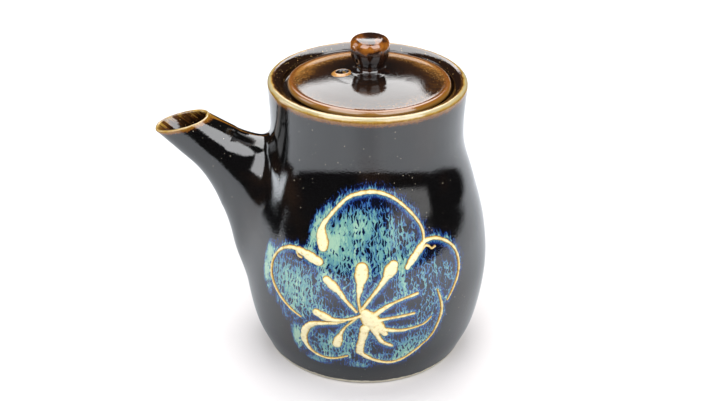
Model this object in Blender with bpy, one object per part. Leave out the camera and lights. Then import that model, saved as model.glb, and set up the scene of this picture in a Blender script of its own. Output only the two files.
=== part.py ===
"""A lidded stoneware pourer for sake or sauce.

The pot stands on z = 0 with its axis on Z.  The horn-shaped spout points along -X, and a plum
blossom drawn in raised slip faces -Y.  The lid sits on a ledge inside the rim and lifts off
along +Z.  Every piece keeps a gap of 0.3 mm to the piece that it touches.
"""

from math import cos, pi, radians, sin, sqrt

import bmesh
import bpy
from mathutils import Vector

MM = 0.001
GAP = 0.3 * MM

# Pot body: radii and heights of the outer wall in mm, from the foot up to the lip
POT_HEIGHT = 91.2 * MM
WALL = 3.8 * MM
FLOOR_THICKNESS = 5.0 * MM
FOOT_RADIUS = 31.6 * MM
OUTER_WALL = (
    (32.5, 1.0),
    (36.8, 12.0),
    (39.2, 29.0),
    (37.9, 44.0),
    (34.2, 58.0),
    (30.7, 69.5),
    (30.0, 78.0),
    (30.6, 89.9),
)

# Lip: a round ridge at the outside, then a slope down to the gallery that surrounds the lid
RIDGE_RADIUS = 1.3 * MM
SLOPE_RADIUS = 26.8 * MM
GALLERY_RADIUS = 26.3 * MM
LEDGE_HEIGHT = 88.0 * MM
LEDGE_INNER_RADIUS = 22.6 * MM

# Round hole through the wall behind the spout
POUR_HOLE_RADIUS = 4.5 * MM
POUR_HOLE_HEIGHT = 54.0 * MM

# Lid, seated on the ledge
LID_RADIUS = 24.9 * MM
LID_EDGE = 1.8 * MM
LID_CROWN = 93.5 * MM
LID_THICKNESS = 3.4 * MM
FLANGE_OUTER_RADIUS = 22.1 * MM
FLANGE_INNER_RADIUS = 18.8 * MM
FLANGE_DEPTH = 4.4 * MM
VENT_RADIUS = 1.7 * MM
VENT_OFFSET = 8.5 * MM

# Knob on the lid: how far its widest stretch begins and ends above its foot
KNOB_FOOT_RADIUS = 5.4 * MM
KNOB_NECK_RADIUS = 4.35 * MM
KNOB_RADIUS = 5.95 * MM
KNOB_WIDE_FROM = 5.2 * MM
KNOB_WIDE_TO = 7.4 * MM
KNOB_TOP = 104.5 * MM

# Spout sections from the mouth to the root.  Each one lies in a plane square to the XZ plane:
# reach and height of its lower edge, reach and height of its upper edge, half its width (mm).
SPOUT_SECTIONS = (
    (65.0, 75.7, 48.4, 80.0, 6.5),
    (58.5, 69.2, 43.3, 77.1, 6.9),
    (52.5, 62.8, 38.3, 74.3, 7.8),
    (48.4, 55.8, 33.2, 72.3, 9.0),
    (45.5, 48.0, 28.5, 68.8, 10.0),
    (43.5, 41.0, 26.0, 60.0, 10.5),
    (42.3, 34.0, 25.0, 52.0, 10.1),
    (40.0, 27.0, 25.0, 43.0, 8.6),
    (35.8, 20.0, 25.0, 33.0, 5.5),
)
BORE_SECTIONS = (
    (64.6, 80.3, 51.5, 84.3, 4.9),
    (63.4, 76.5, 50.3, 80.5, 4.7),
    (56.8, 70.9, 45.4, 76.5, 4.9),
    (50.0, 64.0, 40.8, 71.5, 5.3),
    (45.3, 55.6, 35.8, 66.6, 6.0),
    (41.4, 47.0, 29.8, 60.8, 6.6),
    (34.0, 40.0, 24.0, 55.0, 6.6),
)

# Slip trails on the belly, by name: half the width in mm at the start, the middle and the end,
# and the points that the trail runs through (azimuth in degrees from -Y, height in mm).
SLIP_HEIGHT = 0.55 * MM
SLIP_FULL_HALF_WIDTH = 0.5 * MM
SLIP_BEAD = ((-1, 0), (-0.75, 0.7), (0, 1), (0.75, 0.7), (1, 0))
SLIP_TRAILS = {
    "slip_petal_top": (
        (1.8, 0.7, 0.6),
        ((-25.2, 51.4), (-27.5, 55.5), (-21, 62.5), (-8, 67.9), (5, 67.6), (17.5, 62.1), (23.9, 55)),
    ),
    "slip_petal_right": (
        (1.3, 0.6, 0.4),
        ((14.6, 46), (19, 49), (25, 52.2), (32, 52), (41, 46.8), (43, 40), (35, 31)),
    ),
    "slip_petal_left": (
        (1.6, 0.7, 0.4),
        ((-27.8, 47.3), (-42, 48.2), (-50.5, 44), (-52.3, 37.7), (-45.5, 31), (-34.5, 26.7)),
    ),
    "slip_petal_lower_left": (
        (0.8, 1.0, 0.5),
        ((-16, 27.2), (-28, 25.2), (-34.3, 19.5), (-29, 13.3), (-20, 12.3), (-12.7, 14.2)),
    ),
    "slip_petal_lower_right": (
        (0.8, 0.6, 0.4),
        ((-4, 14.8), (1.5, 12.5), (8.3, 11.3), (15, 12.5), (24.3, 17)),
    ),
    "slip_petal_right_inner": (
        (0.4, 0.5, 0.4),
        ((25.6, 17.9), (30, 22.2), (32.1, 28.9), (29.8, 35.3)),
    ),
    "slip_heart": ((1.8, 3.0, 1.8), ((-4.2, 31.3), (-1.5, 28.6), (1.1, 26.2))),
    "slip_stem": ((1.2, 1.1, 1.5), ((-5.2, 24.0), (-6.7, 17))),
    "slip_stamen_top": ((2.0, 1.2, 0.5), ((-6.6, 46.2), (-7.3, 41), (-7.8, 35.3))),
    "slip_stamen_upper_left": ((1.5, 1.0, 0.5), ((-22.3, 41.7), (-16, 38), (-10.4, 33))),
    "slip_stamen_upper_right": ((1.8, 0.8, 0.5), ((7.5, 46.4), (2.5, 41.3), (-3.4, 35.6))),
    "slip_stamen_left": ((1.5, 1.0, 0.6), ((-26.6, 29.9), (-18.5, 28.8), (-10.4, 29.9))),
    "slip_stamen_lower_left": ((1.5, 0.7, 0.4), ((-17.3, 20), (-14, 24.6), (-10.5, 27.9))),
    "slip_stamen_right_1": ((0.7, 0.5, 0.5), ((4.8, 33.4), (12, 35.5), (19, 36.2))),
    "slip_stamen_right_2": ((0.6, 0.5, 0.5), ((6.2, 29.4), (12, 29.5), (17.6, 29.6))),
    "slip_stamen_right_3": ((0.9, 0.5, 0.4), ((6.2, 25.2), (14, 24.3), (22.3, 24.6), (26.6, 26.6))),
    "slip_stamen_right_4": ((0.9, 0.7, 0.6), ((1.6, 22.2), (3.6, 20.3), (8, 18.3))),
}

# Facets
TURNED_STEPS = 56
KNOB_STEPS = 32
SPOUT_SIDES = 32
WALL_SPAN_POINTS = 3
SPOUT_SPAN_RINGS = 2
TRAIL_SPAN_POINTS = 3
RIDGE_POINTS = 5

# Colours (RGB, linear), roughness
BLACK_GLAZE = ((0.012, 0.010, 0.010), 0.10)
LID_GLAZE = ((0.10, 0.035, 0.012), 0.12)
KNOB_GLAZE = ((0.16, 0.05, 0.015), 0.12)
CREAM_SLIP = ((0.80, 0.66, 0.36), 0.30)


def clear_scene():
    """Remove the objects of the open scene."""
    for item in list(bpy.data.objects):
        bpy.data.objects.remove(item, do_unlink=True)


def make_material(name, look):
    """A Principled material with a base colour and a roughness."""
    colour, roughness = look
    material = bpy.data.materials.new(name)
    material.use_nodes = True
    shader = material.node_tree.nodes["Principled BSDF"]
    shader.inputs["Base Color"].default_value = (*colour, 1.0)
    shader.inputs["Roughness"].default_value = roughness
    shader.inputs["Metallic"].default_value = 0.0
    return material


def through(points, span_points):
    """A smooth (Catmull-Rom) curve through points of any dimension, span_points to a span."""
    knots = [tuple(2 * a - b for a, b in zip(points[0], points[1]))]
    knots += [tuple(point) for point in points]
    knots += [tuple(2 * a - b for a, b in zip(points[-1], points[-2]))]
    curve = []
    for before, start, end, after in zip(knots, knots[1:], knots[2:], knots[3:]):
        for step in range(span_points):
            t = step / span_points
            curve.append(
                tuple(
                    0.5 * (2 * b + (c - a) * t + (2 * a - 5 * b + 4 * c - d) * t**2
                           + (3 * b - a - 3 * c + d) * t**3)
                    for a, b, c, d in zip(before, start, end, after)
                )
            )
    curve.append(tuple(points[-1]))
    return curve


def outer_wall(extra=0.0):
    """The outer wall's outline as (radius, height), moved outward by extra."""
    return [(r * MM + extra, z * MM) for r, z in through(OUTER_WALL, WALL_SPAN_POINTS)]


def wall_radius(height):
    """Radius of the faceted outer wall at a height."""
    outline = outer_wall()
    for (r0, z0), (r1, z1) in zip(outline, outline[1:]):
        if height <= z1:
            return r0 + (r1 - r0) * (height - z0) / (z1 - z0)
    return outline[-1][0]


def arc(centre, radius, start, end, count):
    """Points of a circular arc in the (radius, height) plane, angles in degrees."""
    points = []
    for step in range(count + 1):
        angle = radians(start + (end - start) * step / count)
        points.append((centre[0] + radius * cos(angle), centre[1] + radius * sin(angle)))
    return points


def finish(name, bm, material, sharp=35):
    """Turn a bmesh into a smooth-shaded object with its faces pointing out."""
    bmesh.ops.recalc_face_normals(bm, faces=bm.faces)
    mesh = bpy.data.meshes.new(name)
    bm.to_mesh(mesh)
    bm.free()
    mesh.shade_smooth()
    mesh.set_sharp_from_angle(angle=radians(sharp))
    if material:
        mesh.materials.append(material)
    body = bpy.data.objects.new(name, mesh)
    bpy.context.collection.objects.link(body)
    return body


def turned(name, outline, material, steps=TURNED_STEPS):
    """Spin an outline, which starts and ends on the axis, into one closed solid."""
    bm = bmesh.new()
    verts = [bm.verts.new((r, 0.0, z)) for r, z in outline]
    edges = [bm.edges.new(pair) for pair in zip(verts, verts[1:])]
    bmesh.ops.spin(
        bm, geom=verts + edges, cent=(0, 0, 0), axis=(0, 0, 1), angle=2 * pi, steps=steps, use_merge=True
    )
    bmesh.ops.remove_doubles(bm, verts=bm.verts, dist=0.001 * MM)
    return finish(name, bm, material)


def lofted(name, rings, material, sharp=35):
    """Skin a row of rings with equal counts and close both ends."""
    bm = bmesh.new()
    rows = [[bm.verts.new(point) for point in ring] for ring in rings]
    for row, following in zip(rows, rows[1:]):
        for index in range(len(row)):
            after = (index + 1) % len(row)
            bm.faces.new((row[index], row[after], following[after], following[index]))
    bm.faces.new(rows[0])
    bm.faces.new(rows[-1])
    return finish(name, bm, material, sharp)


def cut_away(body, cutter):
    """Subtract a hidden cutter from a body."""
    cutter.hide_render = True
    cutter.display_type = "WIRE"
    cut = body.modifiers.new("cut by " + cutter.name, "BOOLEAN")
    cut.operation = "DIFFERENCE"
    cut.solver = "EXACT"
    cut.object = cutter


def lip_outline():
    """From the outer wall over the ridge, down the slope and the gallery, and over the ledge."""
    ridge = (OUTER_WALL[-1][0] * MM - RIDGE_RADIUS, POT_HEIGHT - RIDGE_RADIUS)
    return arc(ridge, RIDGE_RADIUS, 0, 110, RIDGE_POINTS) + [
        (SLOPE_RADIUS, POT_HEIGHT - 1.2 * MM),
        (GALLERY_RADIUS, POT_HEIGHT - 2.0 * MM),
        (GALLERY_RADIUS - 0.1 * MM, LEDGE_HEIGHT + 0.5 * MM),
        (GALLERY_RADIUS - 0.6 * MM, LEDGE_HEIGHT),
        (LEDGE_INNER_RADIUS + 0.5 * MM, LEDGE_HEIGHT),
        (LEDGE_INNER_RADIUS, LEDGE_HEIGHT - 0.5 * MM),
        (LEDGE_INNER_RADIUS, LEDGE_HEIGHT - 2.6 * MM),
        (LEDGE_INNER_RADIUS + 1.3 * MM, LEDGE_HEIGHT - 5.0 * MM),
    ]


def make_pot_body(material):
    """The thrown pot: foot, belly, waist, lip, ledge and the hole behind the spout."""
    outer = outer_wall()
    low, high = FLOOR_THICKNESS + 4 * MM, LEDGE_HEIGHT - 7 * MM
    inner = [point for point in outer_wall(-WALL) if low < point[1] < high]
    floor = [(inner[0][0] - 5 * MM, FLOOR_THICKNESS + 0.6 * MM), (0.0, FLOOR_THICKNESS)]
    outline = [(0.0, 0.0), (FOOT_RADIUS, 0.0)]
    outline += outer[:-1] + lip_outline() + inner[::-1] + floor
    body = turned("pot_body", outline, material)
    reach = OUTER_WALL[3][0] * MM
    bpy.ops.mesh.primitive_cylinder_add(
        vertices=24,
        radius=POUR_HOLE_RADIUS,
        depth=20 * MM,
        location=(-reach, 0, POUR_HOLE_HEIGHT),
        rotation=(0, pi / 2, 0),
    )
    drill = bpy.context.object
    drill.name = "pour_hole_cutter"
    cut_away(body, drill)
    return body


def spout_ring(section):
    """An elliptical ring; the spout reaches along -X."""
    low_reach, low_height, high_reach, high_height, half_width = (value * MM for value in section)
    centre = Vector((-(low_reach + high_reach) / 2, 0, (low_height + high_height) / 2))
    depth = Vector((-low_reach, 0, low_height)) - centre
    width = Vector((0, half_width, 0))
    angles = [2 * pi * side / SPOUT_SIDES for side in range(SPOUT_SIDES)]
    return [centre + depth * cos(angle) + width * sin(angle) for angle in angles]


def spout_loft(name, sections, material):
    """The solid that follows a list of spout sections."""
    rings = [spout_ring(section) for section in through(sections, SPOUT_SPAN_RINGS)]
    return lofted(name, rings, material)


def make_spout(material):
    """The hollow spout, fitted to the outside of the pot's wall."""
    spout = spout_loft("spout", SPOUT_SECTIONS, material)
    cut_away(spout, spout_loft("spout_bore_cutter", BORE_SECTIONS, None))
    wall = outer_wall(GAP)
    outline = [(0.0, wall[0][1] - 5 * MM), (wall[0][0], wall[0][1] - 5 * MM)] + wall
    outline += [(wall[-1][0], POT_HEIGHT + 5 * MM), (0.0, POT_HEIGHT + 5 * MM)]
    cut_away(spout, turned("pot_wall_cutter", outline, None))
    return spout


def crown_outline():
    """The lid's domed top as (radius, height), from its edge to the axis."""
    seat = LEDGE_HEIGHT + GAP
    edge = seat + LID_EDGE
    knots = (
        (LID_RADIUS - 0.8 * MM, edge),
        (0.72 * LID_RADIUS, edge + 0.48 * (LID_CROWN - edge)),
        (0.4 * LID_RADIUS, edge + 0.87 * (LID_CROWN - edge)),
        (0.0, LID_CROWN),
    )
    return through(knots, WALL_SPAN_POINTS)


def make_lid(material):
    """The lid: edge, dome, locating flange underneath and the vent hole."""
    seat = LEDGE_HEIGHT + GAP
    flange_foot = seat - FLANGE_DEPTH
    round_off = 0.8 * MM
    under = [
        (0.0, LID_CROWN - LID_THICKNESS),
        (0.6 * FLANGE_INNER_RADIUS, LID_CROWN - LID_THICKNESS - 1.1 * MM),
        (FLANGE_INNER_RADIUS - 0.6 * MM, seat + 0.5 * MM),
        (FLANGE_INNER_RADIUS, seat - 0.4 * MM),
        (FLANGE_INNER_RADIUS + 0.2 * MM, flange_foot + round_off),
        (FLANGE_INNER_RADIUS + 0.9 * MM, flange_foot),
        (FLANGE_OUTER_RADIUS - 0.9 * MM, flange_foot),
        (FLANGE_OUTER_RADIUS - 0.2 * MM, flange_foot + round_off),
        (FLANGE_OUTER_RADIUS, seat),
        (LID_RADIUS - 0.7 * MM, seat),
        (LID_RADIUS, seat + 0.6 * MM),
        (LID_RADIUS, seat + LID_EDGE - 0.6 * MM),
    ]
    lid = turned("lid", under + crown_outline(), material)
    bpy.ops.mesh.primitive_cylinder_add(
        vertices=16, radius=VENT_RADIUS, depth=12 * MM, location=(-VENT_OFFSET, 0, LID_CROWN)
    )
    drill = bpy.context.object
    drill.name = "vent_cutter"
    cut_away(lid, drill)
    return lid


def make_knob(material):
    """The knob: a flared foot, a short neck and a squarish ball with a flattened top."""
    foot = LID_CROWN + GAP
    knots = (
        (KNOB_FOOT_RADIUS, foot),
        (KNOB_NECK_RADIUS + 0.1 * MM, foot + 0.8 * MM),
        (KNOB_NECK_RADIUS + 0.1 * MM, foot + 1.7 * MM),
        (KNOB_RADIUS - 0.8 * MM, foot + 2.9 * MM),
        (KNOB_RADIUS, foot + KNOB_WIDE_FROM),
        (KNOB_RADIUS, foot + KNOB_WIDE_TO),
        (KNOB_RADIUS - 0.9 * MM, foot + 9.4 * MM),
        (KNOB_RADIUS - 2.9 * MM, KNOB_TOP - 0.3 * MM),
        (0.0, KNOB_TOP),
    )
    return turned("knob", [(0.0, foot)] + through(knots, WALL_SPAN_POINTS), material, KNOB_STEPS)


def on_belly(azimuth, height, lift):
    """A point lifted off the outer wall; azimuth in degrees from -Y toward +X."""
    angle = radians(azimuth)
    radius = wall_radius(height * MM) + lift
    return Vector((radius * sin(angle), -radius * cos(angle), height * MM))


def trail_half_width(widths, t):
    """Half width at a share t of a trail: the start blob thins over the first third, the rest
    eases toward the end, and both ends are rounded off over an eighth of the trail.
    """
    start, middle, end = widths
    if t < 1 / 3:
        half = start + (middle - start) * 3 * t
    elif t < 1 / 2:
        half = middle
    else:
        half = middle + (end - middle) * (2 * t - 1)
    blunt = max(0.2, min(1.0, 8 * t, 8 * (1 - t)))
    return half * MM * sqrt(blunt * (2 - blunt))


def make_slip_trail(name, path, widths, material):
    """A low bead of slip that follows a path on the wall."""
    points = through(path, TRAIL_SPAN_POINTS)
    rings = []
    for index, (azimuth, height) in enumerate(points):
        before = on_belly(*points[max(index - 1, 0)], GAP)
        after = on_belly(*points[min(index + 1, len(points) - 1)], GAP)
        here = on_belly(azimuth, height, GAP)
        outward = Vector((here.x, here.y, 0)).normalized()
        across = (after - before).cross(outward).normalized()
        outward = across.cross(after - before).normalized()
        half = trail_half_width(widths, index / (len(points) - 1))
        bead_height = SLIP_HEIGHT * min(1.0, half / SLIP_FULL_HALF_WIDTH)
        rings.append([here + across * half * a + outward * bead_height * h for a, h in SLIP_BEAD])
    return lofted(name, rings, material, sharp=60)


def main():
    clear_scene()
    black = make_material("black_glaze", BLACK_GLAZE)
    slip = make_material("cream_slip", CREAM_SLIP)
    make_pot_body(black)
    make_spout(make_material("spout_glaze", BLACK_GLAZE))
    lid = make_lid(make_material("lid_glaze", LID_GLAZE))
    knob = make_knob(make_material("knob_glaze", KNOB_GLAZE))
    lift = bpy.data.objects.new("lid_lift_axis", None)
    bpy.context.collection.objects.link(lift)
    for piece in (lid, knob):
        piece.parent = lift
    for name, (widths, path) in SLIP_TRAILS.items():
        make_slip_trail(name, path, widths, slip)


main()
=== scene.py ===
"""Visual model of the lidded pourer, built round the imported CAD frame.

Lengths are written in mm and turned into metres by MM.  The pot stands on z = 0 with its axis
on Z, the spout points along -X and the blossom faces -Y.  Places on the belly are given as an
azimuth in degrees (0 at -Y, growing toward +X) and a height.
"""

from math import cos, pi, radians, sin

import bmesh
import bpy
import numpy as np
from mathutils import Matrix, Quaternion, Vector


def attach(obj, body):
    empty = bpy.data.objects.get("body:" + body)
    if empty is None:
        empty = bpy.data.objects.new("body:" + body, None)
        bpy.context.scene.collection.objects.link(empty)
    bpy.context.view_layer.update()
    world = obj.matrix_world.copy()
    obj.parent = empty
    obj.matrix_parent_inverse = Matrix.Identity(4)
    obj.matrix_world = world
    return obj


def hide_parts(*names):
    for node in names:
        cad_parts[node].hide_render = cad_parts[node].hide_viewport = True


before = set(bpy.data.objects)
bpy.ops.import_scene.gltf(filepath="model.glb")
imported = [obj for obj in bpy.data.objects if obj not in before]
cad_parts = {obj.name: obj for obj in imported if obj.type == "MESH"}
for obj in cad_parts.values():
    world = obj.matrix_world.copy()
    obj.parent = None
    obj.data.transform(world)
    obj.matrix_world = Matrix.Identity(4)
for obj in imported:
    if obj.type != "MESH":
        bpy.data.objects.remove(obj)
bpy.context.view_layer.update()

MM = 0.001
# Height of the lip's crest
HEIGHT = 91.2

# Belly and neck: radius and height of the outer wall, from the foot to the lip
WALL = (
    (32.5, 1.0), (36.8, 12.0), (39.2, 29.0), (37.9, 44.0), (34.2, 58.0), (30.7, 69.5), (30.0, 78.0),
    (30.6, 89.9),
)
WALL_THICKNESS = 3.8
# How far out of round the thrown pot is, at most
WOBBLE = 0.10
# mm of wall for each radian of azimuth, near enough all over the belly
UNROLL = 36.0

# Spout sections from the mouth to the root: reach and height of the lower edge, reach and
# height of the upper edge, half the width
SPOUT = (
    (64.8, 75.8, 48.3, 79.8, 6.4),
    (58.5, 69.2, 43.2, 76.9, 6.8),
    (52.5, 62.8, 38.2, 74.1, 7.7),
    (48.4, 55.8, 33.2, 72.1, 8.9),
    (45.5, 48.0, 28.5, 68.8, 10.0),
    (43.5, 41.0, 26.0, 60.0, 10.5),
    (42.3, 34.0, 25.0, 52.0, 10.1),
    (40.0, 27.0, 25.0, 43.0, 8.6),
    (35.8, 20.0, 25.0, 33.0, 5.5),
)
# Points round each turned part's mesh
POT_SIDES, SPOUT_SIDES, LID_SIDES, KNOB_SIDES, VENT_SIDES = 360, 120, 288, 120, 64
# Rows of the spout's mesh: up the bore, over the lip, down the outside, and through the fillet at
# its root; ROOT_ROWS of them, up from the belly, are evened out
BORE_ROWS = 60
LIP_ROWS = 10
OUTSIDE_ROWS = 90
FILLET_ROWS = 24
ROOT_ROWS = 59
SPOUT_LIP = 1.15
# How far the spout's root flows out over the belly, by the height where they meet
ROOT_HEIGHTS = (24.0, 34.0, 43.0, 51.0, 60.0, 68.0, 73.0)
ROOT_REACHES = (5.0, 8.5, 11.5, 12.0, 10.0, 6.5, 4.2)

# Outlines of turned parts, as radius and height: under the foot, from the lip down into the
# gallery, the lid from below and from above, the glaze round its vent hole, and the knob
FOOT = (
    (0.0, 0.55), (12.0, 0.55), (24.0, 0.5), (27.2, 0.35), (28.2, 0.04), (28.6, 0.0), (31.0, 0.0),
    (31.9, 0.25),
)
GALLERY = (
    (28.4, 90.95), (27.6, 90.5), (26.9, 90.0), (26.5, 89.6), (26.3, 88.9), (26.1, 88.4),
    (25.6, 88.05), (24.4, 88.0), (23.2, 88.0), (22.75, 87.75), (22.6, 87.2), (22.6, 85.6),
    (22.9, 84.4), (24.2, 82.6),
)
LID_UNDER = (
    (0.0, 90.1), (8.0, 89.8), (14.0, 89.1), (18.0, 88.4), (18.7, 87.8), (18.9, 86.0), (19.2, 84.5),
    (19.9, 83.95), (20.6, 83.9), (21.3, 84.1), (21.8, 84.7), (22.0, 86.0), (22.1, 87.9),
    (22.5, 88.3), (24.1, 88.35), (24.7, 88.6), (24.9, 89.2), (24.8, 89.75),
)
LID_TOP = (
    (24.55, 90.12), (24.2, 90.34), (23.7, 90.42), (23.1, 90.42), (22.4, 90.52), (20.8, 90.95),
    (17.9, 91.7), (14.0, 92.45), (10.0, 93.0), (6.0, 93.32), (3.0, 93.45), (0.0, 93.5),
)
VENT_RIM = (
    (1.45, -2.6), (1.42, -1.2), (1.42, -0.4), (1.55, 0.1), (1.85, 0.36), (2.3, 0.36), (2.75, 0.1),
    (3.1, -0.17), (3.3, -0.7), (2.9, -1.6),
)
KNOB = (
    (0.0, 92.4), (5.2, 92.4), (6.8, 92.8), (6.3, 93.25), (5.5, 93.6), (4.85, 94.0), (4.45, 94.5),
    (4.35, 95.1), (4.5, 95.7), (4.8, 96.3), (5.2, 97.1), (5.6, 98.1), (5.87, 99.2), (6.0, 100.4),
    (5.98, 101.6), (5.75, 102.6), (5.15, 103.4), (4.2, 103.9), (3.0, 104.1), (1.6, 104.2),
    (0.0, 104.2),
)

# How the lid sits: its centre, its tilt in degrees and its height above a true fit
LID_CENTRE = (0.5, 0.0)
LID_TILT = 0.8
LID_LIFT = 0.1
VENT = (-8.4, -1.2)
VENT_RADIUS = 1.6

# Slip lines by CAD node: points (azimuth, height, half width)
SLIP = {
    "slip_petal_top": (
        (-25.2, 51.5, 1.5), (-25.7, 53.1, 1.95), (-26.7, 55.2, 1.45), (-26.2, 57.8, 0.9),
        (-24.0, 60.0, 0.7), (-20.7, 62.7, 0.65), (-14.7, 66.4, 0.6), (-8.2, 67.9, 0.65),
        (-1.6, 68.4, 0.65), (5.0, 67.6, 0.6), (11.5, 65.5, 0.55), (17.7, 62.0, 0.55),
        (22.0, 58.4, 0.5), (23.9, 55.4, 0.5), (23.8, 52.7, 0.5),
    ),
    "slip_petal_right": (
        (14.4, 45.6, 0.8), (16.4, 47.2, 1.05), (19.0, 49.0, 1.2), (22.6, 51.6, 0.85),
        (25.4, 52.5, 0.65), (31.2, 52.1, 0.55), (37.4, 49.7, 0.55), (41.6, 46.3, 0.5),
        (43.1, 41.9, 0.45), (42.0, 38.1, 0.4), (38.7, 34.3, 0.35), (35.0, 30.9, 0.25),
    ),
    "slip_petal_left": (
        (-26.4, 46.7, 1.35), (-29.5, 47.3, 1.55), (-34.0, 48.2, 1.2), (-39.0, 48.7, 0.75),
        (-43.5, 48.2, 0.6), (-48.6, 46.0, 0.5), (-52.0, 42.0, 0.45), (-52.3, 37.7, 0.45),
        (-49.9, 34.2, 0.45), (-45.0, 30.7, 0.45), (-39.8, 28.2, 0.4), (-34.6, 26.6, 0.3),
    ),
    "slip_petal_lower_left": (
        (-13.6, 28.3, 0.4), (-17.5, 27.3, 0.6), (-22.0, 26.6, 0.65), (-28.0, 25.4, 0.9),
        (-32.2, 22.7, 1.15), (-34.0, 18.4, 1.1), (-32.0, 14.9, 0.65), (-28.7, 13.1, 0.5),
        (-24.1, 12.2, 0.45), (-18.6, 12.6, 0.4), (-12.8, 14.3, 0.4),
    ),
    "slip_petal_lower_right": (
        (-6.6, 16.2, 0.9), (-3.9, 14.5, 0.75), (1.3, 12.5, 0.55), (8.1, 11.3, 0.5),
        (14.1, 12.2, 0.45), (20.0, 14.8, 0.4), (24.6, 17.2, 0.3),
    ),
    "slip_petal_right_inner": (
        (25.4, 17.4, 0.3), (28.9, 20.4, 0.4), (31.4, 25.0, 0.45), (32.1, 28.9, 0.5),
        (30.8, 32.8, 0.4), (29.4, 35.8, 0.3),
    ),
    "slip_heart": (
        (-4.6, 31.6, 1.5), (-3.0, 29.8, 2.3), (-1.1, 28.0, 2.6), (0.8, 26.6, 2.0), (2.6, 25.2, 1.3),
        (4.4, 23.6, 0.8),
    ),
    "slip_stem": ((-4.6, 26.0, 1.5), (-5.6, 22.5, 1.2), (-6.6, 19.2, 1.15), (-6.9, 16.6, 1.3)),
    "slip_stamen_top": (
        (-6.4, 46.3, 1.8), (-6.5, 44.4, 2.05), (-6.9, 41.8, 1.3), (-7.3, 39.0, 0.85),
        (-7.7, 36.0, 0.45), (-6.6, 32.0, 0.5),
    ),
    "slip_stamen_upper_left": (
        (-22.1, 41.6, 1.25), (-19.4, 40.1, 1.4), (-16.2, 38.2, 0.9), (-13.0, 35.4, 0.6),
        (-8.6, 32.0, 0.5),
    ),
    "slip_stamen_upper_right": (
        (7.9, 46.9, 1.5), (6.6, 45.4, 1.85), (4.2, 42.9, 1.0), (1.2, 40.0, 0.7), (-2.2, 36.9, 0.55),
        (-5.8, 33.2, 0.6),
    ),
    "slip_stamen_left": (
        (-26.4, 29.9, 1.3), (-22.6, 28.9, 1.4), (-18.4, 28.3, 0.8), (-12.4, 29.0, 0.5),
        (-6.4, 30.6, 0.6),
    ),
    "slip_stamen_lower_left": (
        (-17.5, 18.8, 1.35), (-17.0, 20.2, 1.4), (-15.6, 23.0, 0.7), (-13.2, 26.2, 0.4),
        (-8.0, 30.0, 0.45),
    ),
    "slip_stamen_right_1": (
        (0.0, 31.2, 0.8), (3.4, 33.0, 0.8), (7.0, 34.4, 0.5), (12.0, 35.6, 0.4), (18.9, 36.6, 0.5),
    ),
    "slip_stamen_right_2": (
        (-0.4, 28.6, 0.9), (4.2, 29.2, 0.6), (9.0, 29.5, 0.45), (17.4, 29.9, 0.45),
    ),
    "slip_stamen_right_3": (
        (0.6, 26.4, 1.0), (5.0, 25.2, 0.75), (11.0, 24.3, 0.6), (14.6, 24.3, 0.45),
        (22.3, 24.9, 0.3), (26.4, 26.9, 0.2),
    ),
    "slip_stamen_right_4": (
        (-0.6, 25.6, 1.1), (1.2, 22.9, 0.8), (3.4, 20.4, 0.7), (7.9, 18.5, 0.5),
    ),
}
# Thin side branches of a slip line, by the CAD node that they belong to
SLIP_TWIGS = {
    "slip_petal_right": (
        (21.5, 49.3, 0.35), (24.0, 50.9, 0.45), (26.0, 50.6, 0.40), (27.6, 49.6, 0.38),
        (29.6, 49.9, 0.3),
    ),
    "slip_petal_left": ((-38.5, 48.4, 0.5), (-37.2, 46.9, 0.4), (-35.4, 46.6, 0.35)),
}
SLIP_GRID = 0.15
SLIP_HEIGHT = 0.8

# Blue glaze under the blossom: the petals that it fills, and where it ran thick, as
# (azimuth, height, half width, half height, strength)
PATCH_PETALS = (
    ("slip_petal_top", (10.0, 44.0)),
    ("slip_petal_right", (20.0, 30.0)),
    ("slip_petal_left", (-24.0, 30.0)),
    ("slip_petal_lower_left", (-12.0, 24.0)),
    ("slip_petal_lower_right", (26.0, 24.0)),
)
PATCH_HEART = (-6.0, 30.0)
THICK_RUNS = (
    (-19.6, 53.5, 4.1, 5.3, 1.15), (-10.2, 58.2, 5.1, 4.0, 0.85), (-13.7, 49.7, 5.2, 3.8, 0.7),
    (-31.3, 53.4, 1.3, 4.5, 1.4), (-29.8, 58.0, 1.2, 4.0, 1.2), (-25.5, 62.0, 1.6, 3.0, 0.6),
    (-24.8, 45.2, 1.8, 4.7, 0.8), (3.6, 54.5, 6.0, 5.7, 0.40), (12.5, 43.5, 1.4, 6.0, 0.6),
    (-55.8, 43.5, 1.5, 4.0, 1.5), (-56.4, 37.5, 1.4, 4.5, 1.5), (-54.0, 31.5, 1.4, 4.0, 1.1),
    (-44.5, 23.5, 1.6, 4.0, 1.1), (-48.5, 27.5, 2.2, 3.0, 0.6), (-38.5, 36.7, 4.4, 6.4, 0.7),
    (-38.8, 18.0, 1.8, 7.0, 1.4), (-29.1, 10.2, 3.6, 1.4, 1.2), (-21.3, 18.3, 4.5, 4.1, 0.45),
    (-7.0, 10.2, 3.2, 1.8, 1.4), (15.6, 18.0, 4.0, 5.3, 0.5), (-11.7, 22.3, 1.7, 5.6, 0.6),
    (8.4, 14.1, 5.8, 1.6, 0.4), (-16.3, 61.2, 2.9, 2.4, 0.4),
)


# ---- curves and grids


def through(points, span_points):
    """A smooth (Catmull-Rom) curve through points of any dimension, span_points to a span."""
    p = np.asarray(points, float)
    p = np.vstack([2 * p[0] - p[1], p, 2 * p[-1] - p[-2]])
    t = np.arange(span_points)[:, None] / span_points
    spans = []
    for a, b, c, d in zip(p, p[1:], p[2:], p[3:]):
        square, cube = 2 * a - 5 * b + 4 * c - d, 3 * b - a - 3 * c + d
        spans.append(0.5 * (2 * b + (c - a) * t + square * t**2 + cube * t**3))
    return np.vstack(spans + [p[-2:-1]])


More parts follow.
